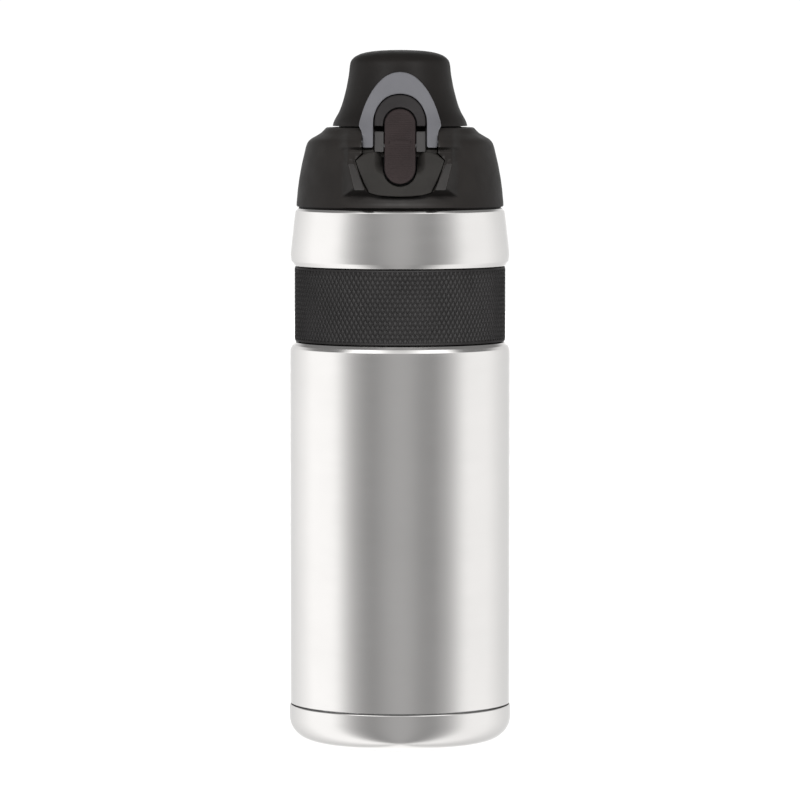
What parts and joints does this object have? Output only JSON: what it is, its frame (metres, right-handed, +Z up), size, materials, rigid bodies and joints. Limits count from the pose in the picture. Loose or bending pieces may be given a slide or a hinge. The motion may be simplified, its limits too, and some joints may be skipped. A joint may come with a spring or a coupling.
{
  "type": "bicycle water bottle",
  "caption": "Vacuum-insulated steel bicycle bottle with a grip band, a screw-on straw cap, a push-button flip lid and a swinging lock ring.",
  "frame": {"origin": "centre of the base, on the surface the bottle stands on", "axes": "+Z up the bottle's axis, -Y out of the button side, +Y towards the lid's hinge, +X to the right of someone facing the button"},
  "size_m": [0.075, 0.075, 0.2329],
  "materials": {
    "satin_steel": "satin, very fine grain",
    "inner_steel": "electropolished",
    "pin_steel": "drawn wire",
    "getter_metal": "sintered, matte",
    "sealing_glass": "solder glass, opaque",
    "band_rubber": "matte, diamond studs",
    "silicone": "soft, matte",
    "cap_plastic": "satin moulded",
    "bezel_plastic": "satin moulded",
    "button_plastic": "fine ribbed",
    "ring_plastic": "satin moulded",
    "inner_plastic": "moulded",
    "straw_plastic": "translucent"
  },
  "bodies": {
    "bottle": {"outer_shell": "satin_steel", "base_cup": "satin_steel", "vacuum_bottom": "inner_steel", "seal_bead": "sealing_glass", "inner_liner": "inner_steel", "getter": "getter_metal", "grip_band": "band_rubber"},
    "gasket": {"neck_gasket": "silicone"},
    "cap": {"cap_core": "inner_plastic", "cap_shell": "cap_plastic", "bezel": "bezel_plastic", "button_pin": "pin_steel", "button_spring": "pin_steel", "spout_base": "inner_plastic", "spout_oring": "silicone", "mouthpiece": "silicone", "straw": "straw_plastic", "air_valve": "silicone", "hinge_pin": "pin_steel", "hinge_spring": "pin_steel"},
    "lid": {"lid_shell": "cap_plastic", "lid_liner": "inner_plastic", "lid_seal": "silicone"},
    "button": {"button": "button_plastic"},
    "ring": {"lock_ring": "ring_plastic"}
  },
  "joints": [
    {"name": "cap_lift", "type": "slide", "parent": "bottle", "child": "gasket", "axis": [0, 0, 1], "range_m": [0, 0.005]},
    {"name": "cap_unscrew", "type": "hinge", "parent": "gasket", "child": "cap", "pos_m": [0, 0, 0.1803], "axis": [0, 0, 1], "range_deg": [0, 450]},
    {"name": "lid_hinge", "type": "hinge", "parent": "cap", "child": "lid", "pos_m": [0, 0.031, 0.195], "axis": [-1, 0, 0], "range_deg": [0, 125]},
    {"name": "button_press", "type": "hinge", "parent": "cap", "child": "button", "pos_m": [0, -0.0264, 0.201], "axis": [1, 0, 0], "range_deg": [0, 4], "stiffness_Nm_per_rad": 0.05, "deforming": ["button_spring"]},
    {"name": "ring_swing", "type": "hinge", "parent": "cap", "child": "ring", "pos_m": [0, -0.0286, 0.2024], "axis": [1, 0, 0], "range_deg": [0, 110]}
  ],
  "couplings": [
    {"joint": "cap_lift", "follows": "cap_unscrew", "m_per_rad": 0.00063662}
  ]
}
